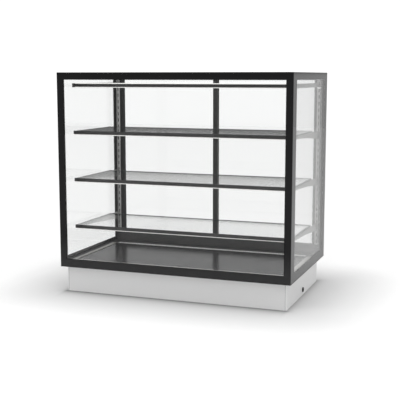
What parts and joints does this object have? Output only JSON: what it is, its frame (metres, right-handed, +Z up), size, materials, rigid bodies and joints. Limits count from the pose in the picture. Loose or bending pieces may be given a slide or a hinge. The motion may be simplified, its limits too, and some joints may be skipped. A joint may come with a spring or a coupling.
{
  "type": "heated display case",
  "caption": "Drop-in heated display case: glass case with lit shelves and sliding rear doors over a warm deck, with a steel tank below that hangs in a counter.",
  "frame": {"origin": "centre of the tank's underside, which is the centre of the bounding box's base", "axes": "+Z up, front glass towards -Y, sliding doors at the rear towards +Y, +X to the right seen from the front"},
  "size_m": [1.2, 0.722, 1.105],
  "materials": {
    "tank_steel": "fine satin",
    "base_pan": "bare zinc grey",
    "grommet_rubber": "matt",
    "frame_black": "satin black",
    "seal_rubber": "matt foam",
    "case_glass": "clear with a black printed border",
    "top_frame_black": "satin black",
    "rear_frame": "black anodised",
    "track_alu": "mill finish",
    "pilaster_grey": "satin grey",
    "bracket_grey": "satin grey",
    "rail_dark": "black anodised",
    "shelf_glass": "clear with ground edges",
    "milky": "milky, lit from within",
    "trim_steel": "satin",
    "deck_glass": "black glossy",
    "mat_foil": "heating foil",
    "duct_steel": "galvanised sheet",
    "element": "dull nickel tube",
    "fan_black": "moulded",
    "stop_rubber": "matt",
    "panel_black": "satin black",
    "screw_steel": "plain",
    "control_plastic": "moulded",
    "switch_plastic": "moulded",
    "driver_white": "satin",
    "box_grey": "moulded",
    "door_frame": "dark anodised",
    "door_glass": "clear",
    "roller_plastic": "acetal",
    "rotor_black": "moulded",
    "rocker_plastic": "moulded",
    "key_plastic": "moulded"
  },
  "bodies": {
    "case": {"tank_casing": "tank_steel", "tank_base_pan": "base_pan", "cable_grommet": "grommet_rubber", "base_frame": "frame_black", "counter_seal": "seal_rubber", "front_glass": "case_glass", "side_glass_right": "case_glass", "side_glass_left": "case_glass", "top_glass": "case_glass", "top_frame": "top_frame_black", "corner_posts": "top_frame_black", "rear_sill": "frame_black", "door_header": "rear_frame", "jamb_right": "rear_frame", "jamb_left": "rear_frame", "door_track": "track_alu", "pilaster_right": "pilaster_grey", "pilaster_left": "pilaster_grey", "shelf_brackets_lower": "bracket_grey", "shelf_rail_lower": "rail_dark", "shelf_glass_lower": "shelf_glass", "shelf_brackets_middle": "bracket_grey", "shelf_rail_middle": "rail_dark", "shelf_glass_middle": "shelf_glass", "shelf_brackets_upper": "bracket_grey", "shelf_rail_upper": "rail_dark", "shelf_glass_upper": "shelf_glass", "lamp_cover": "rail_dark", "lamp_arm_right": "bracket_grey", "lamp_arm_left": "bracket_grey", "light_diffusers": "milky", "deck_trim": "trim_steel", "deck_plate": "deck_glass", "deck_heater_mats": "mat_foil", "air_grille": "frame_black", "air_duct": "duct_steel", "heater_elements": "element", "fan_frames": "fan_black", "door_bumpers": "stop_rubber", "control_panel": "panel_black", "panel_screws": "screw_steel", "controller": "control_plastic", "switch_housings": "switch_plastic", "lamp_driver": "driver_white", "terminal_box": "box_grey"},
    "left_door": {"door_frame_left": "door_frame", "door_glass_left": "door_glass"},
    "right_door": {"door_frame_right": "door_frame", "door_glass_right": "door_glass"},
    "roller_left_outer": {"roller_left_outer": "roller_plastic"},
    "roller_left_inner": {"roller_left_inner": "roller_plastic"},
    "roller_right_outer": {"roller_right_outer": "roller_plastic"},
    "roller_right_inner": {"roller_right_inner": "roller_plastic"},
    "fan_rotor_left": {"fan_rotor_left": "rotor_black"},
    "fan_rotor_right": {"fan_rotor_right": "rotor_black"},
    "rocker_power": {"rocker_power": "rocker_plastic"},
    "rocker_light": {"rocker_light": "rocker_plastic"},
    "key_up": {"key_up": "key_plastic"},
    "key_set": {"key_set": "key_plastic"},
    "key_down": {"key_down": "key_plastic"}
  },
  "joints": [
    {"name": "left_door_slide", "type": "slide", "parent": "case", "child": "left_door", "axis": [1, 0, 0], "range_m": [0, 0.5684]},
    {"name": "right_door_slide", "type": "slide", "parent": "case", "child": "right_door", "axis": [-1, 0, 0], "range_m": [0, 0.5684]},
    {"name": "roller_left_outer_spin", "type": "hinge", "parent": "left_door", "child": "roller_left_outer", "pos_m": [-0.5211, 0.3079, 0.1823], "axis": [0, 1, 0], "range_deg": [0, 6518.4]},
    {"name": "roller_left_inner_spin", "type": "hinge", "parent": "left_door", "child": "roller_left_inner", "pos_m": [-0.0473, 0.3079, 0.1823], "axis": [0, 1, 0], "range_deg": [0, 6518.4]},
    {"name": "roller_right_outer_spin", "type": "hinge", "parent": "right_door", "child": "roller_right_outer", "pos_m": [0.5211, 0.3204, 0.1823], "axis": [0, 1, 0], "range_deg": [-6518.4, 0]},
    {"name": "roller_right_inner_spin", "type": "hinge", "parent": "right_door", "child": "roller_right_inner", "pos_m": [0.0473, 0.3204, 0.1823], "axis": [0, 1, 0], "range_deg": [-6518.4, 0]},
    {"name": "fan_rotor_left_spin", "type": "hinge", "parent": "case", "child": "fan_rotor_left", "pos_m": [-0.27, 0.167, 0.075], "axis": [0, 1, 0], "continuous": true},
    {"name": "fan_rotor_right_spin", "type": "hinge", "parent": "case", "child": "fan_rotor_right", "pos_m": [0.27, 0.167, 0.075], "axis": [0, 1, 0], "continuous": true},
    {"name": "rocker_power_tilt", "type": "hinge", "parent": "case", "child": "rocker_power", "pos_m": [-0.3447, 0.35, 0.152], "axis": [1, 0, 0], "range_deg": [0, 20]},
    {"name": "rocker_light_tilt", "type": "hinge", "parent": "case", "child": "rocker_light", "pos_m": [-0.3047, 0.35, 0.152], "axis": [1, 0, 0], "range_deg": [0, 20]},
    {"name": "key_up_press", "type": "slide", "parent": "case", "child": "key_up", "axis": [0, -1, 0], "range_m": [0, 0.001], "stiffness_N_per_m": 300, "springref_m": -0.001},
    {"name": "key_set_press", "type": "slide", "parent": "case", "child": "key_set", "axis": [0, -1, 0], "range_m": [0, 0.001], "stiffness_N_per_m": 300, "springref_m": -0.001},
    {"name": "key_down_press", "type": "slide", "parent": "case", "child": "key_down", "axis": [0, -1, 0], "range_m": [0, 0.001], "stiffness_N_per_m": 300, "springref_m": -0.001}
  ],
  "couplings": [
    {"joint": "roller_left_outer_spin", "follows": "left_door_slide", "rad_per_m": 200},
    {"joint": "roller_left_inner_spin", "follows": "left_door_slide", "rad_per_m": 200},
    {"joint": "roller_right_outer_spin", "follows": "right_door_slide", "rad_per_m": -200},
    {"joint": "roller_right_inner_spin", "follows": "right_door_slide", "rad_per_m": -200}
  ]
}
